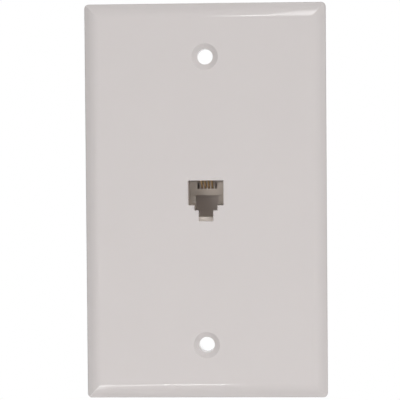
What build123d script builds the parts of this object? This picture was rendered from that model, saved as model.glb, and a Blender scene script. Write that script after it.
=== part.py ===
from build123d import *
import os
from math import acos, atan2, cos, hypot, radians, sin, tan

# Telephone wall socket: a single-gang wall plate with one six-position modular jack.
# Millimetres. X is to the right as seen from the room, Y goes into the wall, Z is up.
# The origin is the middle of the plate, on the wall. Each piece is written as a STEP file of its own.

# Wall plate
plate_width = 69.85
plate_height = 114.3
plate_depth = 5.6
plate_wall = 2.2
rim_wall = 2.0
plate_corner = 1.5
bevel_radius = 5.2
bevel_angle = 30
bevel_land = 1.33
edge_radius = 0.9
pocket_radius = 1.0

# Fixing holes and their bosses
hole_spacing = 83.34
hole_diameter = 4.5
countersink_diameter = 7.6
countersink_angle = 100
boss_diameter = 10.0
boss_edge = 0.5

# Ribs on the back of the plate
rib_thickness = 1.2
rib_height = 1.7
rib_offset = 5.5

# Ejector marks on the back of the plate
ejector_diameter = 4.0
ejector_depth = 0.15
ejector_x = 16.0
ejector_z = 46.0

# Plug opening, as seen from the room
jack_width = 10.1
jack_height = 7.15
jack_top = 5.9
key_width = 6.65
key_drop = 1.45
finger_width = 4.1
finger_drop = 3.1
opening_corner = 0.3
opening_edge = 0.2

# Jack housing
flange_margin = 2.4
flange_thickness = 1.8
housing_wall = 1.3
housing_corner = 0.8
flange_corner = 1.0
channel_floor_drop = 3.45
cavity_depth = 11.2
rear_wall = 1.7
stop_reach = 0.5
comb_height = 4.05
comb_gap = 0.45
frame_wall = 1.2
frame_height = 1.3
moulding_clearance = 0.12

# Contacts
position_count = 6
contact_count = 4
contact_pitch = 1.02
slot_width = 0.68
slot_depth = 2.1
wire_diameter = 0.5
wire_bend = 0.8
wire_rest_depth = 1.0
wire_clearance = 0.05
groove_width = 0.62
exit_pitch = 2.6
fan_start = 2.0
fan_length = 5.0

# Contact carrier
carrier_width = 11.4
carrier_thickness = 1.9
carrier_headroom = 0.1
groove_depth = 0.75
nose_setback = 0.3

# Rear cap
cap_depth = 3.0
cap_wall = 1.0
arm_width = 5.0
arm_thickness = 1.1
arm_reach = 5.0
catch_height = 0.8
catch_width = 2.2
catch_length = 1.6
window_play = 0.2

# Crimp splices and leads
splice_diameter = 2.1
splice_length = 5.0
splice_stand_off = 0.7
splice_grip = 2.2
lead_diameter = 1.45
lead_clearance = 0.03

# Terminal base
base_margin_x = 1.3
base_margin_z = 2.8
base_thickness = 2.2
base_corner = 3.0
base_lip = 1.0
base_lip_height = 0.8
post_size = 11.4
post_height = 4.4
post_corner = 0.8
barrier_wall = 1.2
barrier_height = 2.2
terminal_x = 15.5
terminal_z = 9.5

# Heat-staked pins
pin_margin = 0.3
pin_diameter = 2.6
pin_shoulder_diameter = 5.0
pin_head_diameter = 4.4
pin_head_height = 0.9
pin_head_edge = 0.5
pin_clearance = 0.05

# Terminals
insert_diameter = 5.6
insert_length = 5.2
insert_groove = 0.35
thread_diameter = 3.5
thread_clearance = 0.03
shank_hole_clearance = 0.1
washer_size = 8.4
washer_thickness = 0.7
washer_flange = 0.9
screw_head_diameter = 6.6
screw_head_height = 2.1
screw_crown = 0.8
screw_length = 6.2
screw_tip_chamfer = 0.5
recess_width = 0.9
recess_span = 3.6
recess_depth = 1.3
slot_recess_depth = 0.9
lug_width = 7.0
lug_thickness = 0.6
lug_neck = 3.0
lug_barrel_diameter = 2.5
lug_barrel_length = 4.6
lug_barrel_gap = 0.4
lug_grip = 2.4

# Lead routes, as points chosen by hand: steps outward, back and up from the end of the splice,
# then steps from the mouth of the lug's barrel. Down counts as up on the lower lugs.
bend_share = 0.45
upper_from_splice = [(0, 4.0, 0), (3.0, 6.0, 7.5)]
upper_from_lug = [(-3.3, 13.0, 4.5), (-0.3, 6.5, 8.0), (0, 0, 5.5)]
lower_from_splice = [(0, 4.0, 0), (1.5, 6.0, -8.5), (6.0, 4.5, -20.0)]
lower_from_lug = [(-1.5, 9.0, 4.8), (0, 0, 4.5)]

# Stations along Y, from the room to the wall cavity
face_y = -plate_depth
wall_back_y = face_y + plate_wall
flange_back_y = wall_back_y + flange_thickness
base_back_y = flange_back_y + base_thickness
post_top_y = flange_back_y + base_thickness + post_height
comb_front_y = face_y + cavity_depth
stop_front_y = comb_front_y - stop_reach
housing_back_y = comb_front_y + rear_wall
cap_back_y = housing_back_y + cap_depth
splice_front_y = cap_back_y + splice_stand_off
splice_back_y = splice_front_y + splice_length

# Heights of the plug cavity and what stands above it
jack_floor = jack_top - jack_height
key_floor = jack_floor - key_drop
finger_floor = key_floor - finger_drop
channel_floor = jack_floor - channel_floor_drop
comb_top = jack_top - comb_gap
comb_bottom = comb_top - comb_height
slot_floor = comb_top - slot_depth
carrier_floor = jack_top + carrier_headroom
carrier_top = carrier_floor + carrier_thickness
groove_floor = carrier_top - groove_depth
wire_z = groove_floor + wire_diameter / 2 + wire_clearance
pocket_half = carrier_width / 2 + moulding_clearance
pocket_roof = carrier_top + moulding_clearance
housing_half = pocket_half + housing_wall
housing_top = pocket_roof + housing_wall
housing_floor = channel_floor - housing_wall

# Contact wire geometry
bend_y = flange_back_y + wire_bend + wire_diameter / 2 + wire_clearance
carrier_front_y = bend_y + nose_setback
rest_y = comb_front_y + wire_rest_depth
rest_z = slot_floor + wire_diameter / 2 + wire_clearance
fan_start_y = flange_back_y + fan_start
fan_end_y = fan_start_y + fan_length

# Terminal stack along Y
washer_seat_y = post_top_y + lug_thickness
head_seat_y = washer_seat_y + washer_thickness
barrel_y = post_top_y + lug_barrel_diameter / 2
barrel_start = washer_size / 2 + lug_barrel_gap
barrel_end = barrel_start + lug_barrel_length
shank_hole = thread_diameter + 2 * shank_hole_clearance

base_width = 2 * (terminal_x + post_size / 2 + base_margin_x)
base_height = 2 * (terminal_z + post_size / 2 + base_margin_z)
pin_inset = base_lip + pin_head_diameter / 2 + pin_margin
pin_x = base_width / 2 - pin_inset
pin_z = base_height / 2 - pin_inset
pin_places = [(pin_x, 0), (-pin_x, 0), (0, pin_z), (0, -pin_z)]
hole_places = [(0, hole_spacing / 2), (0, -hole_spacing / 2)]
terminal_places = [(-terminal_x, terminal_z), (terminal_x, terminal_z),
                   (-terminal_x, -terminal_z), (terminal_x, -terminal_z)]
upright_plane = Plane(origin=(0, 0, 0), x_dir=(0, 0, 1), z_dir=(-1, 0, 0))

os.makedirs("parts", exist_ok=True)


def at_depth(y):
    """Plane parallel to the wall at depth y, facing the room: its own x and y are the part's X and Z."""
    return Plane.XZ.offset(-y)


def save(part, name):
    """Labels a finished piece and writes it to its own file."""
    part.label = name
    export_step(part, "parts/" + name + ".step")


def plate_section(half_span):
    """Adds the plate's section to the open sketch: flat face, bevel, rounded edge, side, wall line."""
    turn = radians(bevel_angle)
    bevel_run = bevel_radius * sin(turn) + bevel_land * cos(turn) + edge_radius * (1 - sin(turn))
    flat_end = half_span - bevel_run
    bevel_centre = (flat_end, face_y + bevel_radius)
    land_start = (flat_end + bevel_radius * sin(turn), face_y + bevel_radius * (1 - cos(turn)))
    land_end = (land_start[0] + bevel_land * cos(turn), land_start[1] + bevel_land * sin(turn))
    edge_centre = (land_end[0] - edge_radius * sin(turn), land_end[1] + edge_radius * cos(turn))
    with BuildLine() as outline:
        Line((0, face_y), (flat_end, face_y))
        CenterArc(bevel_centre, bevel_radius, -90, bevel_angle)
        Line(land_start, land_end)
        CenterArc(edge_centre, edge_radius, bevel_angle - 90, 90 - bevel_angle)
        Line((half_span, edge_centre[1]), (half_span, 0))
        Line((half_span, 0), (0, 0))
        mirror(about=Plane.YZ)
    make_face(outline.edges())


def span(low, high, width):
    """Adds a rectangle of the given width, centred on x = 0, between two heights to the open sketch."""
    with Locations((0, (low + high) / 2)):
        Rectangle(width, high - low)


def rounded_span(low, high, width, corner):
    """Adds a rectangle as span does, with rounded corners."""
    with Locations((0, (low + high) / 2)):
        RectangleRounded(width, high - low, corner)


def slot_positions(count):
    """Places of the comb's positions across the jack, centred on it."""
    return [(index - (count - 1) / 2) * contact_pitch for index in range(count)]


def exit_positions():
    """Places where the contact wires leave the back of the carrier."""
    return [(index - (contact_count - 1) / 2) * exit_pitch for index in range(contact_count)]


# Faceplate: a shell with mitred bevels, moulded in one piece with its ribs, bosses and stake pins.
rib_row_z = base_height / 2 + rib_offset
rib_column_x = base_width / 2 + rib_offset
flange_top = housing_top + flange_margin
flange_bottom = housing_floor - flange_margin
flange_width = 2 * (housing_half + flange_margin)

with BuildPart() as faceplate:
    with BuildSketch(Plane.XY):
        plate_section(plate_width / 2)
    extrude(amount=plate_height / 2, both=True)
    with BuildSketch(upright_plane):
        plate_section(plate_height / 2)
    extrude(amount=plate_width / 2, both=True, mode=Mode.INTERSECT)
    with BuildSketch(at_depth(0)):
        RectangleRounded(plate_width, plate_height, plate_corner)
    extrude(amount=plate_depth, mode=Mode.INTERSECT)
    with BuildSketch(at_depth(0)):
        RectangleRounded(plate_width - 2 * rim_wall, plate_height - 2 * rim_wall, pocket_radius)
    extrude(amount=plate_depth - plate_wall, mode=Mode.SUBTRACT)
    with BuildSketch(at_depth(wall_back_y)):
        with Locations((0, rib_row_z), (0, -rib_row_z), *hole_places):
            Rectangle(plate_width - rim_wall, rib_thickness)
        with Locations((rib_column_x, 0), (-rib_column_x, 0)):
            Rectangle(rib_thickness, plate_height - rim_wall)
    extrude(amount=-rib_height)
    with BuildSketch(at_depth(wall_back_y)):
        frame_play = 2 * moulding_clearance
        with Locations((0, (flange_bottom + flange_top) / 2)):
            frame_height_inside = flange_top - flange_bottom + frame_play
            frame_width_inside = flange_width + frame_play
            RectangleRounded(frame_width_inside + 2 * frame_wall, frame_height_inside + 2 * frame_wall,
                             flange_corner + moulding_clearance + frame_wall)
            RectangleRounded(frame_width_inside, frame_height_inside, flange_corner + moulding_clearance,
                             mode=Mode.SUBTRACT)
    extrude(amount=-frame_height)
    with BuildSketch(at_depth(wall_back_y)):
        with Locations(*pin_places):
            Circle(pin_shoulder_diameter / 2)
    extrude(amount=-flange_thickness)
    with BuildSketch(at_depth(flange_back_y)):
        with Locations(*pin_places):
            Circle(pin_diameter / 2)
    extrude(amount=-base_thickness)
    # The screw bosses, which reach the wall, and the staked heads of the pins, each with a bevelled end
    for places, diameter, start_y, end_y, edge in (
            (hole_places, boss_diameter, wall_back_y, 0, boss_edge),
            (pin_places, pin_head_diameter, base_back_y, base_back_y + pin_head_height, pin_head_edge)):
        with BuildSketch(at_depth(start_y)):
            with Locations(*places):
                Circle(diameter / 2)
        extrude(amount=start_y - end_y + edge)
        with BuildSketch(at_depth(end_y - edge)):
            with Locations(*places):
                Circle(diameter / 2)
        extrude(amount=-edge, taper=45)
    with BuildSketch(at_depth(wall_back_y)):
        with GridLocations(2 * ejector_x, 2 * ejector_z, 2, 2):
            Circle(ejector_diameter / 2)
    extrude(amount=ejector_depth, mode=Mode.SUBTRACT)
    with Locations(*[at_depth(face_y).shift_origin((x, face_y, z)) for x, z in hole_places]):
        CounterSinkHole(hole_diameter / 2, countersink_diameter / 2, depth=plate_depth,
                        counter_sink_angle=countersink_angle)
    with BuildSketch(at_depth(face_y)) as plug_opening:
        span(jack_floor, jack_top, jack_width)
        span(key_floor, jack_floor, key_width)
        span(finger_floor, key_floor, finger_width)
        fillet(plug_opening.vertices(), opening_corner)
    extrude(amount=-plate_wall, mode=Mode.SUBTRACT)
    front_edges = faceplate.edges().group_by(Axis.Y)[0]
    opening_edges = front_edges.filter_by_position(Axis.X, -jack_width, jack_width)
    opening_edges = opening_edges.filter_by_position(Axis.Z, finger_floor - plate_wall, jack_top + plate_wall)
    chamfer(opening_edges, opening_edge)
save(faceplate.part, "faceplate")

# Jack housing: flange, tube, latch channel, and the rear wall with its comb.
with BuildPart() as jack_housing:
    with BuildSketch(at_depth(wall_back_y)):
        rounded_span(flange_bottom, flange_top, flange_width, flange_corner)
    extrude(amount=-flange_thickness)
    with BuildSketch(at_depth(flange_back_y)):
        rounded_span(housing_floor, housing_top, 2 * housing_half, housing_corner)
    extrude(amount=-(housing_back_y - flange_back_y))
    with BuildSketch(at_depth(wall_back_y)):
        span(jack_floor, jack_top, jack_width)
    extrude(amount=-(stop_front_y - wall_back_y), mode=Mode.SUBTRACT)
    with BuildSketch(at_depth(wall_back_y)):
        span(channel_floor, jack_floor, key_width)
    extrude(amount=-(housing_back_y - wall_back_y), mode=Mode.SUBTRACT)
    # The pocket for the carrier, open to the cavity below and to the back
    with BuildSketch(at_depth(flange_back_y)):
        span(jack_top, pocket_roof, 2 * pocket_half)
    extrude(amount=-(housing_back_y - flange_back_y), mode=Mode.SUBTRACT)
    # The space before the comb, above the two stops for the plug, then the window between the stops
    with BuildSketch(at_depth(stop_front_y)):
        span(comb_bottom, jack_top, jack_width)
    extrude(amount=-stop_reach, mode=Mode.SUBTRACT)
    with BuildSketch(at_depth(stop_front_y)):
        span(jack_floor, comb_bottom, key_width)
    extrude(amount=-(housing_back_y - stop_front_y), mode=Mode.SUBTRACT)
    # The gap above the comb and the slots between its teeth
    with BuildSketch(at_depth(comb_front_y)):
        span(comb_top, jack_top, jack_width)
    extrude(amount=-rear_wall, mode=Mode.SUBTRACT)
    with BuildSketch(at_depth(comb_front_y)):
        with Locations(*[(x, (slot_floor + comb_top) / 2) for x in slot_positions(position_count)]):
            Rectangle(slot_width, comb_top - slot_floor)
    extrude(amount=-rear_wall, mode=Mode.SUBTRACT)
    # Wedge-shaped catches for the cap's arms
    arm_middle = (jack_floor + comb_bottom) / 2
    catch_front_y = housing_back_y - arm_reach + catch_length
    with BuildSketch(Plane.XY.offset(arm_middle - catch_width / 2)):
        with BuildLine():
            Polyline((housing_half, catch_front_y), (housing_half + catch_height, catch_front_y),
                     (housing_half, catch_front_y + catch_length), close=True)
        make_face()
        mirror(about=Plane.YZ)
    extrude(amount=catch_width)
save(jack_housing.part, "jack_housing")

# Contact carrier: a slide with one groove for each wire, rounded at the nose where the wires turn down.
with BuildPart() as contact_carrier:
    with BuildSketch(at_depth(carrier_front_y)):
        span(carrier_floor, carrier_top, carrier_width)
    extrude(amount=-(cap_back_y - carrier_front_y))
    nose = contact_carrier.faces().sort_by(Axis.Y)[0]
    chamfer(nose.edges().sort_by(Axis.Z)[0], carrier_thickness / 3)
    with BuildSketch(Plane.XY.offset(groove_floor)) as grooves:
        for slot_x, exit_x in zip(slot_positions(contact_count), exit_positions()):
            with BuildLine() as route:
                FilletPolyline((slot_x, carrier_front_y - groove_width), (slot_x, fan_start_y),
                               (exit_x, fan_end_y), (exit_x, cap_back_y + groove_width), radius=wire_bend)
            trace(line_width=groove_width)
    extrude(amount=groove_depth, mode=Mode.SUBTRACT)
save(contact_carrier.part, "contact_carrier")

# Rear cap: a shallow cup over the housing's back, with two arms that snap over the catches.
with BuildPart() as rear_cap:
    with BuildSketch(at_depth(housing_back_y)):
        rounded_span(housing_floor, housing_top, 2 * housing_half, housing_corner)
    extrude(amount=-cap_depth)
    with BuildSketch(at_depth(housing_back_y)):
        span(housing_floor + cap_wall, carrier_floor - cap_wall, 2 * (housing_half - cap_wall))
    extrude(amount=-(cap_depth - cap_wall), mode=Mode.SUBTRACT)
    arm_inner = housing_half + moulding_clearance
    with BuildSketch(Plane.XY.offset(arm_middle - arm_width / 2)):
        with BuildLine():
            Polyline((housing_half - cap_wall, housing_back_y), (arm_inner, housing_back_y),
                     (arm_inner, housing_back_y - arm_reach),
                     (arm_inner + arm_thickness, housing_back_y - arm_reach),
                     (arm_inner + arm_thickness, cap_back_y), (housing_half - cap_wall, cap_back_y),
                     close=True)
        make_face()
        mirror(about=Plane.YZ)
    extrude(amount=arm_width)
    with BuildSketch(Plane.YZ):
        with Locations((catch_front_y + catch_length / 2, arm_middle)):
            Rectangle(catch_length + 2 * window_play, catch_width + 2 * window_play)
    extrude(amount=arm_inner + arm_thickness, both=True, mode=Mode.SUBTRACT)
    with BuildSketch(at_depth(housing_back_y)):
        span(carrier_floor - moulding_clearance, pocket_roof, 2 * pocket_half)
    extrude(amount=-cap_depth, mode=Mode.SUBTRACT)
save(rear_cap.part, "rear_cap")


def contact_wire(slot_x, exit_x):
    """A spring contact: it rests in the comb, slopes up, turns over the nose and fans out to the back."""
    centre = (bend_y, wire_z - wire_bend)
    reach = (rest_y - centre[0], rest_z - centre[1])
    leave = atan2(reach[1], reach[0]) - acos(wire_bend / hypot(*reach))
    middle = (radians(90) + leave + radians(360)) / 2
    turn_end = (slot_x, centre[0] + wire_bend * cos(leave), centre[1] + wire_bend * sin(leave))
    turn_middle = (slot_x, centre[0] + wire_bend * cos(middle), centre[1] + wire_bend * sin(middle))
    turn_start = (slot_x, bend_y, wire_z)
    tail = (exit_x, splice_front_y + splice_grip, wire_z)
    with BuildPart() as wire:
        with BuildLine() as path:
            FilletPolyline(tail, (exit_x, fan_end_y, wire_z), (slot_x, fan_start_y, wire_z), turn_start,
                           radius=wire_bend)
            ThreePointArc(turn_start, turn_middle, turn_end)
            Line(turn_end, (slot_x, rest_y, rest_z))
        with BuildSketch(path.line ^ 0):
            Circle(wire_diameter / 2)
        sweep(path=path.line)
    return wire.part


for number, (slot_x, exit_x) in enumerate(zip(slot_positions(contact_count), exit_positions()), start=1):
    save(contact_wire(slot_x, exit_x), f"contact_wire_{number}")


def crimp_splice(exit_x):
    """A ferrule that grips a contact wire at its front end and a lead at its back end."""
    wire_bore = wire_diameter / 2 + lead_clearance
    lead_bore = lead_diameter / 2 + lead_clearance
    with BuildPart() as splice:
        with BuildSketch(at_depth(splice_front_y)):
            with Locations((exit_x, wire_z)):
                Circle(splice_diameter / 2)
        extrude(amount=-splice_length)
        with BuildSketch(at_depth(splice_front_y)):
            with Locations((exit_x, wire_z)):
                Circle(wire_bore)
        extrude(amount=-splice_length, mode=Mode.SUBTRACT)
        with BuildSketch(at_depth(splice_back_y)):
            with Locations((exit_x, wire_z)):
                Circle(lead_bore)
        extrude(amount=splice_grip, mode=Mode.SUBTRACT)
    return splice.part


for number, exit_x in enumerate(exit_positions(), start=1):
    save(crimp_splice(exit_x), f"crimp_splice_{number}")

# Terminal base: a plate over the housing's flange, with a post for each screw and barriers beside it.
with BuildPart() as terminal_base:
    with BuildSketch(at_depth(flange_back_y)):
        RectangleRounded(base_width, base_height, base_corner)
    extrude(amount=-base_thickness)
    with BuildSketch(at_depth(base_back_y)):
        RectangleRounded(base_width, base_height, base_corner)
        RectangleRounded(base_width - 2 * base_lip, base_height - 2 * base_lip, base_corner - base_lip,
                         mode=Mode.SUBTRACT)
    extrude(amount=-base_lip_height)
    with BuildSketch(at_depth(base_back_y)):
        with Locations(*terminal_places):
            RectangleRounded(post_size, post_size, post_corner)
    extrude(amount=-post_height)
    with BuildSketch(at_depth(post_top_y)):
        barrier_x = (post_size - barrier_wall) / 2
        with Locations(*[(x + side * barrier_x, z) for x, z in terminal_places for side in (-1, 1)]):
            Rectangle(barrier_wall, post_size - 2 * post_corner)
    extrude(amount=-barrier_height)
    with BuildSketch(at_depth(post_top_y)):
        with Locations(*terminal_places):
            Circle(insert_diameter / 2)
    extrude(amount=insert_length, mode=Mode.SUBTRACT)
    with BuildSketch(at_depth(flange_back_y)):
        span(housing_floor - moulding_clearance, housing_top + moulding_clearance,
             2 * (housing_half + moulding_clearance))
        with Locations(*pin_places):
            Circle(pin_diameter / 2 + pin_clearance)
    extrude(amount=-base_thickness, mode=Mode.SUBTRACT)
save(terminal_base.part, "terminal_base")


def terminal_insert(x, z):
    """A threaded brass bush, pressed into its post, with a retaining groove round the middle."""
    bore = thread_diameter / 2 + thread_clearance
    outer = insert_diameter / 2
    top = post_top_y
    bottom = post_top_y - insert_length
    middle = (top + bottom) / 2
    groove_half = insert_length / 10
    with BuildPart() as bush:
        with BuildSketch(Plane.XY.offset(z)):
            with BuildLine():
                Polyline((x + bore, bottom), (x + outer, bottom), (x + outer, middle - groove_half),
                         (x + outer - insert_groove, middle - groove_half),
                         (x + outer - insert_groove, middle + groove_half), (x + outer, middle + groove_half),
                         (x + outer, top), (x + bore, top), close=True)
            make_face()
        revolve(axis=Axis((x, 0, z), (0, 1, 0)))
    return bush.part


def terminal_washer(x, z):
    """A square saddle washer with its two side edges folded up beside the screw head."""
    half = washer_size / 2
    with BuildPart() as washer:
        with BuildSketch(at_depth(washer_seat_y)):
            with Locations((x, z)):
                Rectangle(washer_size, washer_size)
        extrude(amount=-washer_thickness)
        with BuildSketch(at_depth(head_seat_y)):
            side_x = half - washer_thickness / 2
            with Locations((x - side_x, z), (x + side_x, z)):
                Rectangle(washer_thickness, washer_size)
        extrude(amount=-washer_flange)
        outer_folds = washer.edges().filter_by(Axis.Z).group_by(Axis.Y)[0]
        fillet(outer_folds, washer_thickness * 0.6)
        with BuildSketch(at_depth(washer_seat_y)):
            with Locations((x, z)):
                Circle(shank_hole / 2)
        extrude(amount=-washer_thickness, mode=Mode.SUBTRACT)
    return washer.part


def terminal_screw(x, z):
    """A pan head screw with a cross recess and a slot; its tip is chamfered."""
    shank = thread_diameter / 2
    head = screw_head_diameter / 2
    tip_y = head_seat_y - screw_length
    head_top_y = head_seat_y + screw_head_height
    crown_y = head_top_y - screw_crown
    with BuildPart() as screw:
        with BuildSketch(Plane.XY.offset(z)):
            with BuildLine():
                Polyline((x, head_top_y), (x, tip_y), (x + shank - screw_tip_chamfer, tip_y),
                         (x + shank, tip_y + screw_tip_chamfer), (x + shank, head_seat_y),
                         (x + head, head_seat_y), (x + head, crown_y), (x + head - screw_crown, head_top_y),
                         close=True)
            make_face()
        revolve(axis=Axis((x, 0, z), (0, 1, 0)))
        with BuildSketch(at_depth(head_top_y)):
            with Locations((x, z)):
                Rectangle(recess_span, recess_width)
                Rectangle(recess_width, recess_span)
        extrude(amount=recess_depth, taper=10, mode=Mode.SUBTRACT)
        with BuildSketch(at_depth(head_top_y)):
            with Locations((x, z)):
                Rectangle(screw_head_diameter, recess_width)
        extrude(amount=slot_recess_depth, mode=Mode.SUBTRACT)
    return screw.part


def spade_lug(x, z, side):
    """A fork lug: the fork opens towards the middle of the base, the barrel points away from it."""
    barrel_z = z + side * barrel_start
    with BuildPart() as lug:
        with BuildSketch(at_depth(post_top_y)):
            with Locations((x, z)):
                Circle(lug_width / 2)
            with Locations((x, z + side * barrel_start / 2)):
                Rectangle(lug_neck, barrel_start)
            with Locations((x, z - side * lug_width / 2)):
                Rectangle(shank_hole, lug_width, mode=Mode.SUBTRACT)
            with Locations((x, z)):
                Circle(shank_hole / 2, mode=Mode.SUBTRACT)
        extrude(amount=-lug_thickness)
        with BuildSketch(Plane.XY.offset(barrel_z)):
            with Locations((x, barrel_y)):
                Circle(lug_barrel_diameter / 2)
        extrude(amount=side * lug_barrel_length)
        with BuildSketch(Plane.XY.offset(barrel_z)):
            with Locations((x, barrel_y)):
                Circle(lead_diameter / 2 + lead_clearance)
        extrude(amount=side * lug_barrel_length, mode=Mode.SUBTRACT)
    return lug.part


for number, (x, z) in enumerate(terminal_places, start=1):
    side = 1 if z > 0 else -1
    save(terminal_insert(x, z), f"terminal_insert_{number}")
    save(terminal_washer(x, z), f"terminal_washer_{number}")
    save(terminal_screw(x, z), f"terminal_screw_{number}")
    save(spade_lug(x, z, side), f"spade_lug_{number}")


def bend_radii(points):
    """One radius for each inner corner: as large as the two runs beside it allow."""
    corners = [Vector(*point) for point in points]
    radii = []
    for before, corner, after in zip(corners, corners[1:], corners[2:]):
        run_in = corner - before
        run_out = after - corner
        turn = radians(run_in.get_angle(run_out))
        radii.append(bend_share * min(run_in.length, run_out.length) / tan(turn / 2))
    return radii


def lead_wire(points):
    """An insulated lead along straight runs joined by tangent arcs."""
    with BuildPart() as lead:
        with BuildLine() as path:
            FilletPolyline(*points, radius=bend_radii(points))
        with BuildSketch(path.line ^ 0):
            Circle(lead_diameter / 2)
        sweep(path=path.line)
    return lead.part


def lead_route(exit_x, terminal, from_splice, from_lug):
    """Points from inside a splice, by way of the given steps, to the inside of a lug's barrel."""
    x, z = terminal
    outward = 1 if x > 0 else -1
    upward = 1 if z > 0 else -1
    mouth_z = z + upward * barrel_end
    points = [(exit_x, splice_back_y - splice_grip, wire_z)]
    points += [(exit_x + outward * dx, splice_back_y + dy, wire_z + dz) for dx, dy, dz in from_splice]
    points += [(x + outward * dx, barrel_y + dy, mouth_z + upward * dz) for dx, dy, dz in from_lug]
    points.append((x, barrel_y, mouth_z - upward * lug_grip))
    return points


exits = exit_positions()
lead_routes = {
    "green": lead_route(exits[0], terminal_places[0], upper_from_splice, upper_from_lug),
    "red": lead_route(exits[1], terminal_places[2], lower_from_splice, lower_from_lug),
    "black": lead_route(exits[2], terminal_places[3], lower_from_splice, lower_from_lug),
    "yellow": lead_route(exits[3], terminal_places[1], upper_from_splice, upper_from_lug),
}
for colour, points in lead_routes.items():
    radii = ", ".join(f"{radius:.1f}" for radius in bend_radii(points))
    print(f"lead_wire_{colour} bend radii: {radii}")
    save(lead_wire(points), f"lead_wire_{colour}")
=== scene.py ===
"""Finishes, small pieces, light and camera for a flush telephone wall socket.

The socket is a single-gang wall plate of pale glossy plastic with a modular jack in its middle. The plate,
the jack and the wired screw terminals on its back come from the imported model. This script gives each of them
its finish, models the screws, lugs and ferrules more closely, and sets up the studio. Lengths are in metres:
X is to the right as seen from the room, Y goes into the wall and Z is up.
"""

from __future__ import annotations

import logging
import math
from collections.abc import Callable
from dataclasses import dataclass
from enum import Enum

import bpy
from mathutils import Matrix, Vector

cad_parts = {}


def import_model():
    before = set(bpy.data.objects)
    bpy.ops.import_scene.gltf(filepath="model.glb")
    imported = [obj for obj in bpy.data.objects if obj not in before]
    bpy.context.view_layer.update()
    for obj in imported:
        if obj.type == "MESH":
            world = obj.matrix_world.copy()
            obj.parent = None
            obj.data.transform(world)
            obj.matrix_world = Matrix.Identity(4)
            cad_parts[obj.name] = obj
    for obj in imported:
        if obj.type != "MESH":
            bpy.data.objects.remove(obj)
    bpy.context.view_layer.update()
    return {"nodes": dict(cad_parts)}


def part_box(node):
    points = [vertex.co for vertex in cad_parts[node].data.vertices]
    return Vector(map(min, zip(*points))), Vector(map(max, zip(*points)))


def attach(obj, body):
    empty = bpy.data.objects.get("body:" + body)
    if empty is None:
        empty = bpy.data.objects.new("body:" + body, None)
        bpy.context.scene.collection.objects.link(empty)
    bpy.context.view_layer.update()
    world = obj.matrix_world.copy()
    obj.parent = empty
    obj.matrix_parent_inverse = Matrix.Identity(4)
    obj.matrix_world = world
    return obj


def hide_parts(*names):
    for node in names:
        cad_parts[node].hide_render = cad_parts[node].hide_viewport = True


LOG = logging.getLogger("wall_socket")
MM = 0.001
CONTACT_COUNT = 4
TERMINAL_COUNT = 4
# How near two heights are that count as one, and how near a vertex is to the ring or seam that it belongs to.
TOUCH = 0.01 * MM
RING_REACH = 0.02 * MM
# How closely the normal of a face follows a direction that the face looks in, as a cosine.
FACING = 0.99
# The sides of a rod have four corners, and its ends have more.
QUAD_CORNERS = 4
EDGE_SEGMENTS = 2


class Lead(Enum):
    """The insulation colours of the four leads."""

    GREEN = "green"
    RED = "red"
    BLACK = "black"
    YELLOW = "yellow"


class Part(Enum):
    """The parts of a mesh that a selection in edit mode is made of."""

    VERTICES = "VERT"
    EDGES = "EDGE"
    FACES = "FACE"


class Rim(Enum):
    """The two level rims of the plate, each as the sign of its height."""

    TOP = 1
    BOTTOM = -1


class Way(Enum):
    """The directions that a turned part's axis may have, as the turn of a rod that starts along Z."""

    ALONG_Y = (math.pi / 2, 0.0, 0.0)
    ALONG_Z = (0.0, 0.0, 0.0)


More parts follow.
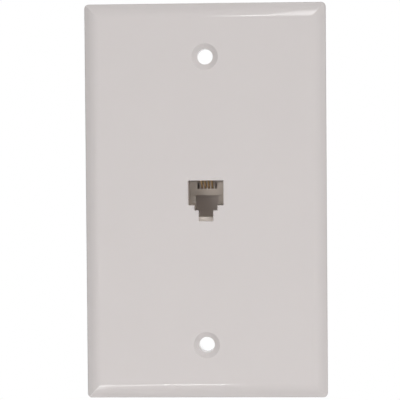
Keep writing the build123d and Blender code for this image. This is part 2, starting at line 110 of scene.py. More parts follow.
class NodeTree:
    """A small wrapper round a material's node tree that places, sets and joins nodes."""

    def __init__(self, name: str) -> None:
        """Makes a new material with an empty node tree.

        Args:
            name: the material's name.
        """
        self.material = bpy.data.materials.new(name)
        self.material.use_nodes = True
        self.tree = self.material.node_tree
        self.tree.nodes.clear()

    def add(self, kind: str, **settings: object) -> bpy.types.Node:
        """Adds a node.

        Args:
            kind: the node's type without its ShaderNode prefix.
            settings: properties of the node, or its input sockets where the name has a capital or an
                underscore in place of a space.

        Returns:
            The new node.
        """
        node = self.tree.nodes.new("ShaderNode" + kind)
        for key, value in settings.items():
            socket = key.replace("_", " ")
            if socket in node.inputs:
                node.inputs[socket].default_value = value
            else:
                setattr(node, key, value)
        return node

    def join(self, source: bpy.types.NodeSocket, target: bpy.types.NodeSocket) -> None:
        """Links one node's output to another node's input."""
        self.tree.links.new(source, target)

    def object_coordinates(self) -> bpy.types.NodeSocket:
        """Gives the object's own coordinates, which don't slide over the surface."""
        return self.add("TexCoord").outputs["Object"]

    def noise(self, scale: float, detail: float = 3.0, distortion: float = 0.0) -> bpy.types.NodeSocket:
        """Adds a noise texture on object coordinates.

        Args:
            scale: features per metre.
            detail: octaves of finer noise.
            distortion: how far the pattern is pulled about.

        Returns:
            The noise's value, from 0 to 1.
        """
        node = self.add("TexNoise", Scale=scale, Detail=detail, Distortion=distortion)
        self.join(self.object_coordinates(), node.inputs["Vector"])
        return node.outputs["Fac"]

    def spread(self, value: bpy.types.NodeSocket, low: float, high: float) -> bpy.types.NodeSocket:
        """Maps a value from the range 0 to 1 to another range.

        Args:
            value: the value to map.
            low: the result at 0.
            high: the result at 1.

        Returns:
            The mapped value.
        """
        node = self.add("MapRange")
        node.inputs["To Min"].default_value = low
        node.inputs["To Max"].default_value = high
        self.join(value, node.inputs["Value"])
        return node.outputs["Result"]

    def blend(self, value: bpy.types.NodeSocket, low: tuple, high: tuple) -> bpy.types.NodeSocket:
        """Mixes two colours by a value.

        Args:
            value: the mixing value.
            low: the colour at 0, as linear red, green and blue.
            high: the colour at 1.

        Returns:
            The mixed colour.
        """
        node = self.add("Mix", data_type="RGBA")
        colour_a, colour_b = (socket for socket in node.inputs if socket.type == "RGBA")
        colour_a.default_value = (*low, 1)
        colour_b.default_value = (*high, 1)
        self.join(value, node.inputs["Factor"])
        return next(socket for socket in node.outputs if socket.type == "RGBA")

    def bump(self, height: bpy.types.NodeSocket, depth: float, strength: float = 1.0,
             under: bpy.types.NodeSocket | None = None) -> bpy.types.NodeSocket:
        """Turns a height into a bumped normal.

        Args:
            height: the height, from 0 to 1.
            depth: how deep the relief is, in metres.
            strength: how much of it shows.
            under: another bumped normal that this one lies on.

        Returns:
            The bumped normal.
        """
        node = self.add("Bump", Strength=strength, Distance=depth)
        self.join(height, node.inputs["Height"])
        if under is not None:
            self.join(under, node.inputs["Normal"])
        return node.outputs["Normal"]

    def close(self, shader: bpy.types.NodeSocket) -> bpy.types.Material:
        """Joins a shader to the material's output.

        Args:
            shader: the finished surface shader.

        Returns:
            The material.
        """
        output = self.add("OutputMaterial")
        self.join(shader, output.inputs["Surface"])
        return self.material


def tint(colour: tuple[float, float, float], share: float) -> tuple[float, float, float]:
    """Scales a colour, to make the light and dark ends of a soft variation."""
    return tuple(channel * share for channel in colour)


@dataclass(frozen=True)
class MouldedPlastic:
    """A moulded plastic: its colour drifts a little, and its skin follows the mould's polish or grain."""

    name: str
    colour: tuple[float, float, float]
    roughness: float
    drift: float = 0.015
    grain_scale: float = 900.0
    grain_depth: float = 4e-6
    wave_scale: float = 45.0
    wave_depth: float = 1.2e-5
    cloud_scale: float = 60.0
    polish_scale: float = 220.0
    polish_range: tuple[float, float] = (0.9, 1.1)
    ior: float = 1.53
    subsurface: float = 0.0
    scatter_colour: tuple[float, float, float] = (1.0, 0.9, 0.8)
    scatter_depth: float = 0.8 * MM

    def material(self) -> bpy.types.Material:
        """Builds the plastic's nodes.

        Returns:
            The material.
        """
        nodes = NodeTree(self.name)
        cloud = nodes.noise(self.cloud_scale, detail=4.0)
        shade = nodes.blend(cloud, tint(self.colour, 1 - self.drift), tint(self.colour, 1 + self.drift))
        polish = nodes.spread(nodes.noise(self.polish_scale, detail=5.0),
                              *(self.roughness * share for share in self.polish_range))
        wave = nodes.bump(nodes.noise(self.wave_scale, detail=1.0), self.wave_depth)
        skin = nodes.bump(nodes.noise(self.grain_scale, detail=3.0), self.grain_depth, under=wave)
        surface = nodes.add("BsdfPrincipled", IOR=self.ior)
        if self.subsurface:
            surface.inputs["Subsurface Weight"].default_value = self.subsurface
            surface.inputs["Subsurface Radius"].default_value = self.scatter_colour
            surface.inputs["Subsurface Scale"].default_value = self.scatter_depth
        nodes.join(shade, surface.inputs["Base Color"])
        nodes.join(polish, surface.inputs["Roughness"])
        nodes.join(skin, surface.inputs["Normal"])
        return nodes.close(surface.outputs["BSDF"])


@dataclass(frozen=True)
class PlatedMetal:
    """A small metal part: plated or bare, with fine handling marks and a slight tarnish in its colour."""

    name: str
    colour: tuple[float, float, float]
    tarnish: tuple[float, float, float]
    roughness: float
    cloud_scale: float = 700.0
    cloud_range: tuple[float, float] = (-0.4, 1.2)
    rubbed_scale: float = 1500.0
    rubbed_range: tuple[float, float] = (0.75, 1.35)
    mark_scale: float = 2600.0
    mark_depth: float = 3e-6

    def material(self) -> bpy.types.Material:
        """Builds the metal's nodes.

        Returns:
            The material.
        """
        nodes = NodeTree(self.name)
        cloud = nodes.noise(self.cloud_scale, detail=5.0, distortion=0.4)
        shade = nodes.blend(nodes.spread(cloud, *self.cloud_range), self.colour, self.tarnish)
        rubbed = nodes.spread(nodes.noise(self.rubbed_scale, detail=4.0),
                              *(self.roughness * share for share in self.rubbed_range))
        marks = nodes.bump(nodes.noise(self.mark_scale, detail=6.0, distortion=1.5), self.mark_depth)
        surface = nodes.add("BsdfPrincipled", Metallic=1.0)
        nodes.join(shade, surface.inputs["Base Color"])
        nodes.join(rubbed, surface.inputs["Roughness"])
        nodes.join(marks, surface.inputs["Normal"])
        return nodes.close(surface.outputs["BSDF"])


@dataclass(frozen=True)
class Vinyl:
    """The insulation of a lead: soft vinyl with a faint extrusion ripple."""

    name: str
    colour: tuple[float, float, float]
    roughness: float = 0.34
    shade_scale: float = 260.0
    shade_range: tuple[float, float] = (0.88, 1.1)
    polish_scale: float = 900.0
    polish_range: tuple[float, float] = (0.8, 1.3)
    ripple_scale: float = 1400.0
    ripple_depth: float = 6e-6
    ior: float = 1.52

    def material(self) -> bpy.types.Material:
        """Builds the vinyl's nodes.

        Returns:
            The material.
        """
        nodes = NodeTree(self.name)
        shade = nodes.blend(nodes.noise(self.shade_scale, detail=4.0),
                            *(tint(self.colour, share) for share in self.shade_range))
        polish = nodes.spread(nodes.noise(self.polish_scale, detail=4.0),
                              *(self.roughness * share for share in self.polish_range))
        ripple = nodes.bump(nodes.noise(self.ripple_scale, detail=2.0), self.ripple_depth)
        surface = nodes.add("BsdfPrincipled", IOR=self.ior)
        nodes.join(shade, surface.inputs["Base Color"])
        nodes.join(polish, surface.inputs["Roughness"])
        nodes.join(ripple, surface.inputs["Normal"])
        return nodes.close(surface.outputs["BSDF"])


PLATE_PLASTIC = MouldedPlastic("plate_plastic", (0.602, 0.563, 0.554), 0.085, subsurface=0.06)
JACK_PLASTIC = MouldedPlastic("jack_plastic", (0.64, 0.58, 0.525), 0.32)
CAP_PLASTIC = MouldedPlastic("cap_plastic", (0.72, 0.64, 0.60), 0.45)
BASE_PLASTIC = MouldedPlastic("base_plastic", (0.60, 0.575, 0.55), 0.42, grain_depth=9e-6)
GOLD = PlatedMetal("gold_wire", (0.98, 0.76, 0.42), (0.90, 0.64, 0.32), 0.42)
TIN = PlatedMetal("tinned_copper", (0.72, 0.71, 0.69), (0.55, 0.53, 0.50), 0.34)
BRASS = PlatedMetal("brass", (0.78, 0.55, 0.24), (0.60, 0.40, 0.17), 0.32)
ZINC = PlatedMetal("zinc_plate", (0.70, 0.70, 0.72), (0.58, 0.57, 0.58), 0.28)
LEAD_VINYL = {
    Lead.GREEN: Vinyl("lead_green", (0.015, 0.20, 0.045)),
    Lead.RED: Vinyl("lead_red", (0.48, 0.018, 0.014)),
    Lead.BLACK: Vinyl("lead_black", (0.012, 0.012, 0.013)),
    Lead.YELLOW: Vinyl("lead_yellow", (0.74, 0.50, 0.03)),
}


def background_rays(tree: bpy.types.NodeTree) -> bpy.types.NodeSocket:
    """Adds nodes that tell the rays which see the background from those that only bring its light.

    Args:
        tree: the node tree of the floor or of the world.

    Returns:
        A value that is 1 for the camera's rays, reflections and rays through glass, and 0 for all others.
    """
    path = tree.nodes.new("ShaderNodeLightPath")
    seen = path.outputs["Is Camera Ray"]
    for kind in ("Is Glossy Ray", "Is Transmission Ray"):
        either = tree.nodes.new("ShaderNodeMath")
        either.operation = "MAXIMUM"
        tree.links.new(seen, either.inputs[0])
        tree.links.new(path.outputs[kind], either.inputs[1])
        seen = either.outputs[0]
    return seen


def dress(node: bpy.types.Object, material: bpy.types.Material) -> None:
    """Gives a piece one finish in all its material slots.

    Args:
        node: the piece.
        material: its finish.
    """
    if not node.material_slots:
        node.data.materials.append(material)
    for slot in node.material_slots:
        slot.material = material
    LOG.info("%s has the finish %s", node.name, material.name)


def corners_of(node: str) -> tuple[Vector, Vector]:
    """Gives the lowest and the highest corner of a node's box."""
    low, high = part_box(node)
    return Vector(low), Vector(high)


def pick_alone(piece: bpy.types.Object) -> None:
    """Selects one object alone and makes it the active one."""
    bpy.ops.object.select_all(action="DESELECT")
    piece.select_set(True)
    bpy.context.view_layer.objects.active = piece


def settle(piece: bpy.types.Object, name: str) -> bpy.types.Object:
    """Names a fresh primitive and moves its place, turn and scale into its mesh.

    Args:
        piece: the primitive.
        name: its name.

    Returns:
        The same object, at the origin and unturned.
    """
    piece.name = name
    pick_alone(piece)
    bpy.ops.object.transform_apply(location=True, rotation=True, scale=True)
    return piece


def add_rod(name: str, centre: Vector, radius: float, length: float, way: Way,
            vertices: int = 48) -> bpy.types.Object:
    """Adds a cylinder at its size and place, to be shaped further.

    Args:
        name: the object's name.
        centre: the middle of the rod.
        radius: its radius.
        length: its length.
        way: the direction of its axis.
        vertices: how many points its ends have.

    Returns:
        The new object.
    """
    bpy.ops.object.select_all(action="DESELECT")
    bpy.ops.mesh.primitive_cylinder_add(vertices=vertices, radius=radius, depth=length, location=centre,
                                        rotation=way.value)
    return settle(bpy.context.object, name)


def add_block(name: str, low: Vector, high: Vector) -> bpy.types.Object:
    """Adds a block between two corners, to be shaped further.

    Args:
        name: the object's name.
        low: the corner with the lowest values.
        high: the opposite corner.

    Returns:
        The new object.
    """
    bpy.ops.object.select_all(action="DESELECT")
    bpy.ops.mesh.primitive_cube_add(size=1.0, location=(low + high) / 2, scale=high - low)
    return settle(bpy.context.object, name)


def edit(piece: bpy.types.Object, part: Part, test: Callable[[object], bool]) -> None:
    """Enters edit mode with the vertices, edges or faces selected that pass a test.

    Args:
        piece: the object to edit.
        part: what the selection is made of.
        test: tells whether one vertex, edge or face is selected.
    """
    pick_alone(piece)
    bpy.ops.object.mode_set(mode="EDIT")
    bpy.ops.mesh.select_mode(type=part.value)
    bpy.ops.mesh.select_all(action="DESELECT")
    bpy.ops.object.mode_set(mode="OBJECT")
    mesh = piece.data
    elements = {Part.VERTICES: mesh.vertices, Part.EDGES: mesh.edges, Part.FACES: mesh.polygons}[part]
    for element in elements:
        element.select = bool(test(element))
    bpy.ops.object.mode_set(mode="EDIT")


def leave_edit() -> None:
    """Goes back to object mode."""
    bpy.ops.object.mode_set(mode="OBJECT")


def slice_rings(piece: bpy.types.Object, axis: Vector, stations: list[Vector]) -> None:
    """Cuts new rings of edges into a rod.

    Args:
        piece: the rod.
        axis: the direction of its axis.
        stations: a point on each cutting plane.
    """
    for station in stations:
        edit(piece, Part.FACES, lambda face: True)
        bpy.ops.mesh.bisect(plane_co=station, plane_no=axis)
        leave_edit()


def squeeze_ring(piece: bpy.types.Object, centre: Vector, axis: Vector, share: Vector) -> None:
    """Presses one ring of a rod out of round, as a crimping tool does.

    Args:
        piece: the rod.
        centre: the middle of the ring.
        axis: the direction of the rod's axis.
        share: the ring's new size along X, Y and Z, as a share of the old one.
    """
    edit(piece, Part.VERTICES, lambda vertex: abs((vertex.co - centre).dot(axis)) < RING_REACH)
    bpy.ops.transform.resize(value=share, center_override=centre)
    leave_edit()


def hollow_end(piece: bpy.types.Object, outward: Vector, wall: float, depth: float) -> None:
    """Sinks a bore into the flat end of a rod.

    Args:
        piece: the rod.
        outward: the direction that the end faces.
        wall: the wall left round the bore.
        depth: how deep the bore is.
    """
    edit(piece, Part.FACES, lambda face: face.normal.dot(outward) > FACING
         and len(face.vertices) > QUAD_CORNERS)
    bpy.ops.mesh.inset(thickness=wall)
    bpy.ops.mesh.extrude_region_move(TRANSFORM_OT_translate={"value": outward * -depth})
    leave_edit()


def finish_with(piece: bpy.types.Object, kind: str, **settings: object) -> None:
    """Adds a modifier to a piece and applies it.

    Args:
        piece: the object.
        kind: the modifier's type.
        settings: its properties.
    """
    modifier = piece.modifiers.new(kind.lower(), kind)
    for key, value in settings.items():
        setattr(modifier, key, value)
    pick_alone(piece)
    bpy.ops.object.modifier_apply(modifier=modifier.name)


def combine(piece: bpy.types.Object, tool: bpy.types.Object, operation: str) -> None:
    """Joins a tool's solid to a piece or cuts it away, and removes the tool.

    Args:
        piece: the piece that stays.
        tool: the solid that is joined or cut away.
        operation: UNION or DIFFERENCE.
    """
    finish_with(piece, "BOOLEAN", object=tool, operation=operation, solver="EXACT")
    bpy.data.objects.remove(tool)


def soften(piece: bpy.types.Object, width: float, angle: float) -> None:
    """Bevels the edges of a piece.

    Args:
        piece: the object.
        width: the bevel's width.
        angle: only edges sharper than this many degrees are bevelled.
    """
    finish_with(piece, "BEVEL", width=width, segments=EDGE_SEGMENTS, limit_method="ANGLE",
                angle_limit=math.radians(angle))


def smooth(piece: bpy.types.Object, angle: float) -> None:
    """Shades a piece smooth across edges flatter than an angle in degrees."""
    pick_alone(piece)
    bpy.ops.object.shade_smooth_by_angle(angle=math.radians(angle))


def copy_to(piece: bpy.types.Object, name: str, move: Matrix) -> bpy.types.Object:
    """Copies a piece with a mesh of its own, moved in the mesh so that the object stays at the origin.

    Args:
        piece: the piece to copy.
        name: the copy's name.
        move: where the copy's mesh goes.

    Returns:
        The copy.
    """
    twin = piece.copy()
    twin.data = piece.data.copy()
    twin.name = name
    twin.data.transform(move)
    bpy.context.scene.collection.objects.link(twin)
    return twin


def stand_for(piece: bpy.types.Object, node: str, material: bpy.types.Material) -> None:
    """Finishes a modelled piece and lets it take the place of its plain node.

    Args:
        piece: the modelled piece.
        node: the node that it replaces.
        material: its finish.
    """
    dress(piece, material)
    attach(piece, "root")
    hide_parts(node)
    LOG.info("%s stands for %s, %d faces", piece.name, node, len(piece.data.polygons))


@dataclass
class TerminalScrew:
    """A pan head screw with a slot, a cross recess and grooved rings in place of its thread."""

    head_height: float = 2.1 * MM
    crown: float = 0.8 * MM
    shank_radius: float = 1.75 * MM
    thread_pitch: float = 0.79 * MM
    thread_root: float = 0.80
    thread_turns: int = 7
    tip_length: float = 0.5 * MM
    tip_share: float = 0.70
    slot_width: float = 0.85 * MM
    slot_depth: float = 0.85 * MM
    cross_span: float = 3.4 * MM
    cross_depth: float = 1.35 * MM
    cross_taper: float = 0.55
    edge: float = 0.07 * MM
    edge_angle: float = 40.0
    smooth_angle: float = 35.0
    head_sides: int = 64
    crown_segments: int = 7

    def model(self, node: str) -> bpy.types.Object:
        """Models the screw where a node has it.

        Args:
            node: the node that the screw stands for.

        Returns:
            The screw.
        """
        low, high = corners_of(node)
        axis = Vector(((low.x + high.x) / 2, high.y, (low.z + high.z) / 2))
        head_radius = (high.x - low.x) / 2
        seat_y = high.y - self.head_height
        middle = Vector((axis.x, high.y - self.head_height / 2, axis.z))
        screw = add_rod("pan_head_screw_1", middle, head_radius, self.head_height, Way.ALONG_Y,
                        vertices=self.head_sides)
        self.round_crown(screw, high.y)
        self.turn_thread(screw, seat_y, head_radius, axis)
        self.cut_recess(screw, axis, head_radius)
        soften(screw, self.edge, self.edge_angle)
        smooth(screw, self.smooth_angle)
        return screw

    def round_crown(self, screw: bpy.types.Object, top_y: float) -> None:
        """Rounds the rim of the head."""
        edit(screw, Part.EDGES, lambda edge: all(
            abs(screw.data.vertices[index].co.y - top_y) < TOUCH for index in edge.vertices))
        bpy.ops.mesh.bevel(offset=self.crown, segments=self.crown_segments, affect="EDGES")
        leave_edit()

    def turn_thread(self, screw: bpy.types.Object, seat_y: float, head_radius: float, axis: Vector) -> None:
        """Draws the shank out of the head's seat, ring by ring, and tapers its tip.

        Args:
            screw: the screw so far.
            seat_y: the plane of the head's seat.
            head_radius: the radius of the head.
            axis: a point on the screw's axis.
        """
        edit(screw, Part.FACES,
             lambda face: face.normal.y < -FACING and abs(face.center.y - seat_y) < TOUCH)
        bpy.ops.mesh.inset(thickness=head_radius - self.shank_radius)
        half_turn = Vector((0, -self.thread_pitch / 2, 0))
        for turn in range(self.thread_turns):
            for share in (self.thread_root, 1 / self.thread_root):
                bpy.ops.mesh.extrude_region_move(TRANSFORM_OT_translate={"value": half_turn})
                bpy.ops.transform.resize(value=(share, 1, share), center_override=axis)
        bpy.ops.mesh.extrude_region_move(TRANSFORM_OT_translate={"value": Vector((0, -self.tip_length, 0))})
        bpy.ops.transform.resize(value=(self.tip_share, 1, self.tip_share), center_override=axis)
        leave_edit()

    def cut_recess(self, screw: bpy.types.Object, axis: Vector, head_radius: float) -> None:
        """Cuts the slot and the cross recess, which narrows with its depth.

        Args:
            screw: the screw so far.
            axis: the middle of the head's top.
            head_radius: the radius of the head.
        """
        half = self.slot_width / 2
        slot = add_block("slot_cutter", axis - Vector((2 * head_radius, self.slot_depth, half)),
                         axis + Vector((2 * head_radius, self.slot_depth, half)))
        combine(screw, slot, "DIFFERENCE")
        for reach in (Vector((self.cross_span / 2, 0, half)), Vector((half, 0, self.cross_span / 2))):
            arm = add_block("cross_cutter", axis - reach - Vector((0, self.cross_depth, 0)),
                            axis + reach + Vector((0, self.cross_depth, 0)))
            edit(arm, Part.FACES, lambda face: face.normal.y < -FACING)
            bpy.ops.transform.resize(value=(self.cross_taper, 1, self.cross_taper), center_override=axis)
            leave_edit()
            combine(screw, arm, "DIFFERENCE")


@dataclass
class CrimpFerrule:
    """A tube that grips a contact wire at its front end and a lead at its back end, pressed in two places."""

    front_wall: float = 0.74 * MM
    back_wall: float = 0.30 * MM
    front_bore: float = 1.6 * MM
    back_bore: float = 2.2 * MM
    wire_crimp: tuple[float, float, float] = (0.9 * MM, 1.5 * MM, 2.1 * MM)
    lead_crimp: tuple[float, float, float] = (3.3 * MM, 3.8 * MM, 4.3 * MM)
    wire_squeeze: float = 0.66
    lead_squeeze: float = 0.80
    spread: float = 1.07
    seam: float = 0.09 * MM
    edge: float = 0.06 * MM
    edge_angle: float = 60.0
    sides: int = 24
    subdivisions: int = 2

    def model(self, node: str) -> bpy.types.Object:
        """Models the ferrule where a node has it.

        Args:
            node: the node that the ferrule stands for.

        Returns:
            The ferrule.
        """
        low, high = corners_of(node)
        middle = (low + high) / 2
        along = Vector((0, 1, 0))
        ferrule = add_rod("crimp_ferrule_1", middle, (high.x - low.x) / 2, high.y - low.y, Way.ALONG_Y,
                          vertices=self.sides)
        stations = [Vector((middle.x, low.y + step, middle.z)) for step in self.wire_crimp + self.lead_crimp]
        slice_rings(ferrule, along, stations)
        squeeze_ring(ferrule, stations[1], along, Vector((self.spread, 1, self.wire_squeeze)))
        squeeze_ring(ferrule, stations[4], along, Vector((self.spread, 1, self.lead_squeeze)))
        edit(ferrule, Part.VERTICES, lambda vertex: abs(vertex.co.x - middle.x) < RING_REACH
             and vertex.co.z > middle.z)
        bpy.ops.transform.translate(value=(0, 0, -self.seam))
        leave_edit()
        hollow_end(ferrule, -along, self.front_wall, self.front_bore)
        hollow_end(ferrule, along, self.back_wall, self.back_bore)
        soften(ferrule, self.edge, self.edge_angle)
        finish_with(ferrule, "SUBSURF", levels=self.subdivisions, render_levels=self.subdivisions)
        smooth(ferrule, self.edge_angle)
        return ferrule


@dataclass
class SpadeLug:
    """A fork lug: the fork lies under the screw's washer, and a crimped barrel holds the lead."""

    thickness: float = 0.6 * MM
    fork_slot: float = 3.7 * MM
    neck_width: float = 3.0 * MM
    neck_rise: float = 0.8 * MM
    barrel_radius: float = 1.25 * MM
    barrel_length: float = 4.6 * MM
    bore_wall: float = 0.48 * MM
    bore_depth: float = 2.4 * MM
    wire_crimp: tuple[float, float, float] = (0.7 * MM, 1.3 * MM, 1.9 * MM)
    lead_crimp: tuple[float, float, float] = (3.0 * MM, 3.5 * MM, 4.0 * MM)
    wire_squeeze: float = 0.70
    lead_squeeze: float = 0.88
    spread: float = 1.08
    edge: float = 0.08 * MM
    edge_angle: float = 50.0
    smooth_angle: float = 35.0
    fork_sides: int = 64
    barrel_sides: int = 32

    def model(self, node: str, screw_node: str) -> bpy.types.Object:
        """Models the lug where a node has it.

        Args:
            node: the node that the lug stands for.
            screw_node: the node of the screw that clamps it.

        Returns:
            The lug, with its barrel pointing up.
        """
        low, high = corners_of(node)
        screw_low, screw_high = corners_of(screw_node)
        width = high.x - low.x
        eye = Vector(((low.x + high.x) / 2, low.y + self.thickness / 2, (screw_low.z + screw_high.z) / 2))
        lug = add_rod("fork_lug_1", eye, width / 2, self.thickness, Way.ALONG_Y, vertices=self.fork_sides)
        combine(lug, self.slot_tool(eye, width), "DIFFERENCE")
        barrel_start = high.z - self.barrel_length
        combine(lug, self.neck(eye, barrel_start), "UNION")
        combine(lug, self.barrel(Vector((eye.x, low.y + self.barrel_radius, barrel_start))), "UNION")
        soften(lug, self.edge, self.edge_angle)
        smooth(lug, self.smooth_angle)
        return lug

    def slot_tool(self, eye: Vector, width: float) -> bpy.types.Object:
        """Makes the solid that cuts the fork's slot: a rod drawn out past the end of the fork.

        Args:
            eye: the middle of the fork.
            width: the fork's width.

        Returns:
            The tool.
        """
        tool = add_rod("slot_tool", eye, self.fork_slot / 2, 4 * self.thickness, Way.ALONG_Y)
        edit(tool, Part.VERTICES, lambda vertex: vertex.co.z < eye.z - TOUCH)
        bpy.ops.transform.translate(value=(0, 0, -width))
        leave_edit()
        return tool

    def neck(self, eye: Vector, barrel_start: float) -> bpy.types.Object:
        """Makes the neck, which rises from the fork to the barrel.

        Args:
            eye: the middle of the fork.
            barrel_start: the height where the barrel starts.

        Returns:
            The neck.
        """
        half = Vector((self.neck_width / 2, self.thickness / 2, 0))
        foot = Vector((eye.x, eye.y, eye.z + self.fork_slot / 2 + self.thickness))
        head = Vector((eye.x, eye.y, barrel_start + self.thickness))
        neck = add_block("neck", foot - half, head + half)
        edit(neck, Part.EDGES, lambda edge: all(
            neck.data.vertices[index].co.z > head.z - TOUCH
            and neck.data.vertices[index].co.y > eye.y for index in edge.vertices))
        bpy.ops.transform.translate(value=(0, self.neck_rise, 0))
        leave_edit()
        return neck

    def barrel(self, start: Vector) -> bpy.types.Object:
        """Makes the barrel, pressed over the wire and, less deeply, over the lead.

        Args:
            start: the middle of the barrel's lower end.

        Returns:
            The barrel.
        """
        up = Vector((0, 0, 1))
        barrel = add_rod("barrel", start + up * (self.barrel_length / 2), self.barrel_radius,
                         self.barrel_length, Way.ALONG_Z, vertices=self.barrel_sides)
        stations = [start + up * step for step in self.wire_crimp + self.lead_crimp]
        slice_rings(barrel, up, stations)
        squeeze_ring(barrel, stations[1], up, Vector((self.spread, self.wire_squeeze, 1)))
        squeeze_ring(barrel, stations[4], up, Vector((self.spread, self.lead_squeeze, 1)))
        hollow_end(barrel, up, self.bore_wall, self.bore_depth)
        return barrel


@dataclass
class WallPlate:
    """The moulded faceplate."""

    nodes: dict[str, bpy.types.Object]

    def build(self) -> None:
        """Dresses the plate."""
        dress(self.nodes["faceplate"], PLATE_PLASTIC.material())


@dataclass
class ModularJack:
    """The jack behind the opening: its housing, carrier, cap and sprung contact wires."""

    nodes: dict[str, bpy.types.Object]

    def build(self) -> None:
        """Dresses the mouldings and the contacts."""
        moulding = JACK_PLASTIC.material()
        dress(self.nodes["jack_housing"], moulding)
        dress(self.nodes["contact_carrier"], moulding)
        dress(self.nodes["rear_cap"], CAP_PLASTIC.material())
        gold = GOLD.material()
        for number in range(1, CONTACT_COUNT + 1):
            dress(self.nodes[f"contact_wire_{number}"], gold)


@dataclass
class TerminalBlock:
    """The base with its four screw terminals."""

    nodes: dict[str, bpy.types.Object]

    def build(self) -> None:
        """Dresses the base and the metal of each terminal."""
        dress(self.nodes["terminal_base"], BASE_PLASTIC.material())
        brass = BRASS.material()
        tin = TIN.material()
        zinc = ZINC.material()
        screws = [TerminalScrew().model("terminal_screw_1")]
        lugs = [SpadeLug().model("spade_lug_1", "terminal_screw_1")]
        first = self.place(1)
        for number in range(1, TERMINAL_COUNT + 1):
            dress(self.nodes[f"terminal_insert_{number}"], brass)
            dress(self.nodes[f"terminal_washer_{number}"], brass)
        for number in range(2, TERMINAL_COUNT + 1):
            there = self.place(number)
            half_turn = math.pi if there.z < 0 else 0.0
            move = (Matrix.Translation(there) @ Matrix.Rotation(half_turn, 4, "Y")
                    @ Matrix.Translation(-first))
            screws.append(copy_to(screws[0], f"pan_head_screw_{number}", move))
            lugs.append(copy_to(lugs[0], f"fork_lug_{number}", move))
        for number, (screw, lug) in enumerate(zip(screws, lugs), start=1):
            stand_for(screw, f"terminal_screw_{number}", zinc)
            stand_for(lug, f"spade_lug_{number}", tin)

    def place(self, number: int) -> Vector:
        """Gives the middle of one terminal's screw."""
        low, high = corners_of(f"terminal_screw_{number}")
        return (low + high) / 2


@dataclass
class Wiring:
    """The four leads and the ferrules that join them to the contact wires."""

    nodes: dict[str, bpy.types.Object]

    def build(self) -> None:
        """Dresses the leads and the ferrules."""
        tin = TIN.material()
        for lead, vinyl in LEAD_VINYL.items():
            dress(self.nodes[f"lead_wire_{lead.value}"], vinyl.material())
        ferrules = [CrimpFerrule().model("crimp_splice_1")]
        first, _ = corners_of("crimp_splice_1")
        for number in range(2, CONTACT_COUNT + 1):
            there, _ = corners_of(f"crimp_splice_{number}")
            ferrules.append(copy_to(ferrules[0], f"crimp_ferrule_{number}",
                                    Matrix.Translation(there - first)))
        for number, ferrule in enumerate(ferrules, start=1):
            stand_for(ferrule, f"crimp_splice_{number}", tin)


def hang_lamp(name: str, size: tuple[float, float], power: float, place: Vector,
              turn: Matrix) -> bpy.types.Object:
    """Adds a rectangular area lamp.

    Args:
        name: the lamp's name.
        size: its width and height.
        power: its power in watts.
        place: its middle.
        turn: the turn that carries Z to the side away from what it lights.

    Returns:
        The lamp.
    """
    data = bpy.data.lights.new(name, "AREA")
    data.shape = "RECTANGLE"
    data.size, data.size_y = size
    data.energy = power
    lamp = bpy.data.objects.new(name, data)
    bpy.context.scene.collection.objects.link(lamp)
    lamp.matrix_world = Matrix.Translation(place) @ turn.to_4x4()
    return lamp


@dataclass(frozen=True)
class SoftLight:
    """A rectangular studio light that faces the middle of the socket, with no reflection of its own shape."""

    name: str
    azimuth: float
    elevation: float
    distance: float
    width: float
    height: float
    power: float

    def place(self) -> None:
        """Adds the light, seen from the socket at its azimuth and elevation in degrees."""
        away = direction(self.azimuth, self.elevation)
        turn = away.to_track_quat("Z", "Y").to_matrix()
        lamp = hang_lamp(self.name, (self.width, self.height), self.power, away * self.distance, turn)
        lamp.visible_glossy = False


@dataclass(frozen=True)
class StripLamp:
    """A long softbox, placed where the glossy rim of the plate mirrors it to the photograph's camera.

    The streak runs between two points on the rounded shoulder of the rim. Each is given by its distance to
    the right of the plate's middle and by how far the surface leans there, in degrees.
    """

    name: str
    rim: Rim
    start: tuple[float, float]
    end: tuple[float, float]
    distance: float
    width: float
    power: float
    shoulder_radius: float = 5.2 * MM
    shoulder_inset: float = 4.2 * MM

    def place(self, eye: Vector) -> None:
        """Adds the lamp.

        Args:
            eye: where the camera stands.
        """
        first, first_ray = self.mirrored(eye, *self.start)
        last, last_ray = self.mirrored(eye, *self.end)
        back = (first_ray + last_ray).normalized()
        along = last - first
        upright = (along - back * along.dot(back)).normalized()
        turn = Matrix((upright.cross(back), upright, back)).transposed()
        hang_lamp(self.name, (self.width, along.length), self.power, (first + last) / 2, turn)

    def mirrored(self, eye: Vector, across: float, lean: float) -> tuple[Vector, Vector]:
        """Follows the camera's line of sight to a point of the shoulder, and from there to the lamp.

        Args:
            eye: where the camera stands.
            across: the point's distance to the right of the plate's middle.
            lean: how far the surface leans back there, in degrees.

        Returns:
            The point where the line meets the lamp, and the line's direction there.
        """
        low, high = corners_of("faceplate")
        side = self.rim.value
        sine, cosine = math.sin(math.radians(lean)), math.cos(math.radians(lean))
        start_z = (high.z if self.rim is Rim.TOP else low.z) - side * self.shoulder_inset
        point = Vector((across, low.y + self.shoulder_radius * (1 - cosine),
                        start_z + side * self.shoulder_radius * sine))
        normal = Vector((0, -cosine, side * sine))
        sight = (point - eye).normalized()
        ray = sight - 2 * sight.dot(normal) * normal
        return point + ray * self.distance, ray


def direction(azimuth: float, elevation: float) -> Vector:
    """Gives the direction from the socket to a point round it.

    Args:
        azimuth: degrees to the right of straight ahead, as seen from the room.
        elevation: degrees above the horizon.

    Returns:
        A unit vector.
    """
    around, above = math.radians(azimuth), math.radians(elevation)
    return Vector((math.sin(around) * math.cos(above), -math.cos(around) * math.cos(above), math.sin(above)))


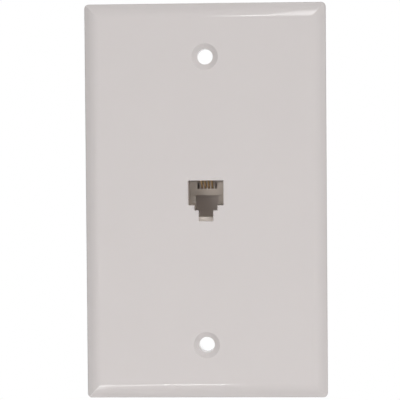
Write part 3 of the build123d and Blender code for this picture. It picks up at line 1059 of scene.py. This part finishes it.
@dataclass(frozen=True)
class PhotoCamera:
    """The camera at the photograph's place: near and almost straight ahead, with a long lens."""

    distance: float = 0.500
    azimuth: float = 2.40
    elevation: float = 1.58
    roll: float = 0.449
    aim_x: float = -1.93 * MM
    aim_z: float = 0.17 * MM
    lens: float = 154.17
    sensor: float = 36.0
    near_limit: float = 0.01
    far_limit: float = 10.0

    def eye(self) -> Vector:
        """Gives the place of the camera."""
        return direction(self.azimuth, self.elevation) * self.distance

    def place(self) -> None:
        """Adds the camera and makes it the scene's."""
        data = bpy.data.cameras.new("photo_camera")
        data.lens = self.lens
        data.sensor_width = self.sensor
        data.clip_start = self.near_limit
        data.clip_end = self.far_limit
        camera = bpy.data.objects.new("photo_camera", data)
        bpy.context.scene.collection.objects.link(camera)
        position = self.eye()
        back = position - Vector((self.aim_x, 0, self.aim_z))
        turn = back.to_track_quat("Z", "Y").to_matrix()
        turn = turn @ Matrix.Rotation(-math.radians(self.roll), 3, "Z")
        camera.matrix_world = Matrix.Translation(position) @ turn.to_4x4()
        bpy.context.scene.camera = camera


@dataclass
class Studio:
    """White surroundings, a pale floor well below the socket, and soft lights."""

    floor_height: float = -0.320
    floor_radius: float = 1.5
    floor_colour: tuple[float, float, float] = (0.80, 0.80, 0.80)
    floor_glow: float = 0.55
    floor_sides: int = 96
    floor_roughness: float = 0.8
    stain_scale: float = 30.0
    stain_share: float = 0.985
    ambient: float = 0.10

    def build(self) -> None:
        """Sets up the world, the floor, the lights and the camera."""
        self.world()
        self.floor()
        camera = PhotoCamera()
        camera.place()
        for light in self.lights():
            light.place()
            LOG.info("light %s", light.name)
        for strip in self.strips():
            strip.place(camera.eye())
            LOG.info("strip lamp %s", strip.name)
        bpy.context.scene.view_settings.view_transform = "Standard"

    def world(self) -> None:
        """Makes surroundings that look white and light the socket more gently than they look."""
        world = bpy.data.worlds.new("white_room")
        bpy.context.scene.world = world
        world.use_nodes = True
        tree = world.node_tree
        tree.nodes.clear()
        strength = tree.nodes.new("ShaderNodeMapRange")
        strength.inputs["To Min"].default_value = self.ambient
        strength.inputs["To Max"].default_value = 1.0
        tree.links.new(background_rays(tree), strength.inputs["Value"])
        background = tree.nodes.new("ShaderNodeBackground")
        background.inputs["Color"].default_value = (1, 1, 1, 1)
        tree.links.new(strength.outputs["Result"], background.inputs["Strength"])
        output = tree.nodes.new("ShaderNodeOutputWorld")
        tree.links.new(background.outputs[0], output.inputs["Surface"])

    def floor(self) -> None:
        """Lays a pale floor, which keeps shadows in its middle and fades into the white surroundings."""
        bpy.ops.object.select_all(action="DESELECT")
        bpy.ops.mesh.primitive_circle_add(vertices=self.floor_sides, radius=self.floor_radius,
                                          fill_type="NGON", location=(0, 0, self.floor_height))
        floor = bpy.context.object
        floor.name = "floor"
        nodes = NodeTree("floor_paint")
        shade = nodes.blend(nodes.noise(self.stain_scale), tint(self.floor_colour, self.stain_share),
                            self.floor_colour)
        paint = nodes.add("BsdfPrincipled", Roughness=self.floor_roughness)
        nodes.join(shade, paint.inputs["Base Color"])
        glow = nodes.add("Emission", Color=(1, 1, 1, 1), Strength=1.0)
        reach = nodes.add("VectorMath", operation="LENGTH")
        nodes.join(nodes.object_coordinates(), reach.inputs[0])
        fade = nodes.add("MapRange", From_Max=self.floor_radius, To_Min=self.floor_glow, To_Max=1.0)
        nodes.join(reach.outputs["Value"], fade.inputs["Value"])
        share = nodes.add("Math", operation="MULTIPLY")
        nodes.join(fade.outputs["Result"], share.inputs[0])
        nodes.join(background_rays(nodes.tree), share.inputs[1])
        surface = nodes.add("MixShader")
        nodes.join(share.outputs["Value"], surface.inputs[0])
        nodes.join(paint.outputs["BSDF"], surface.inputs[1])
        nodes.join(glow.outputs["Emission"], surface.inputs[2])
        dress(floor, nodes.close(surface.outputs["Shader"]))

    def lights(self) -> list[SoftLight]:
        """Gives the soft lights round the socket.

        Returns:
            The lights.
        """
        return [
            SoftLight("upper_right", azimuth=30, elevation=32, distance=0.9,
                      width=0.4, height=0.4, power=2.15),
            SoftLight("top", azimuth=0, elevation=65, distance=0.9,
                      width=0.6, height=0.4, power=1.80),
            SoftLight("left_slot", azimuth=-22, elevation=0, distance=0.5,
                      width=0.08, height=0.2, power=0.40),
            SoftLight("low_left", azimuth=-20, elevation=-30, distance=0.4,
                      width=0.2, height=0.2, power=0.22),
            SoftLight("low_right", azimuth=16, elevation=-24, distance=0.4,
                      width=0.2, height=0.2, power=0.23),
            SoftLight("far_right", azimuth=42, elevation=1, distance=0.9,
                      width=0.2, height=0.2, power=0.55),
            SoftLight("back", azimuth=160, elevation=35, distance=0.9,
                      width=0.5, height=0.5, power=4.0),
        ]

    def strips(self) -> list[StripLamp]:
        """Gives the strip lamps that the rims mirror.

        Returns:
            The lamps.
        """
        return [
            StripLamp("top_streak", Rim.TOP, start=(25.4 * MM, 5.4), end=(44.6 * MM, 24), distance=0.45,
                      width=0.040, power=0.175),
            StripLamp("top_line", Rim.TOP, start=(4 * MM, 5.6), end=(18 * MM, 6.4), distance=0.45,
                      width=0.018, power=0.019),
            StripLamp("bottom_line", Rim.BOTTOM, start=(-30 * MM, 8.2), end=(-11 * MM, 5.6), distance=0.30,
                      width=0.011, power=0.0115),
            StripLamp("bottom_line_end", Rim.BOTTOM, start=(-12 * MM, 5.6), end=(7 * MM, 5.2), distance=0.30,
                      width=0.010, power=0.015),
            StripLamp("bottom_corner", Rim.BOTTOM, start=(-33.9 * MM, 20), end=(-31.6 * MM, 6), distance=0.30,
                      width=0.010, power=0.027),
        ]


def main() -> None:
    """Loads the model, dresses each sub-assembly and sets up the studio."""
    logging.basicConfig(level=logging.INFO, format="%(message)s")
    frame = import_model()
    nodes = frame["nodes"]
    for assembly in (WallPlate(nodes), ModularJack(nodes), TerminalBlock(nodes), Wiring(nodes)):
        assembly.build()
        LOG.info("%s is dressed", type(assembly).__name__)
    Studio().build()


if __name__ == "__main__":
    main()
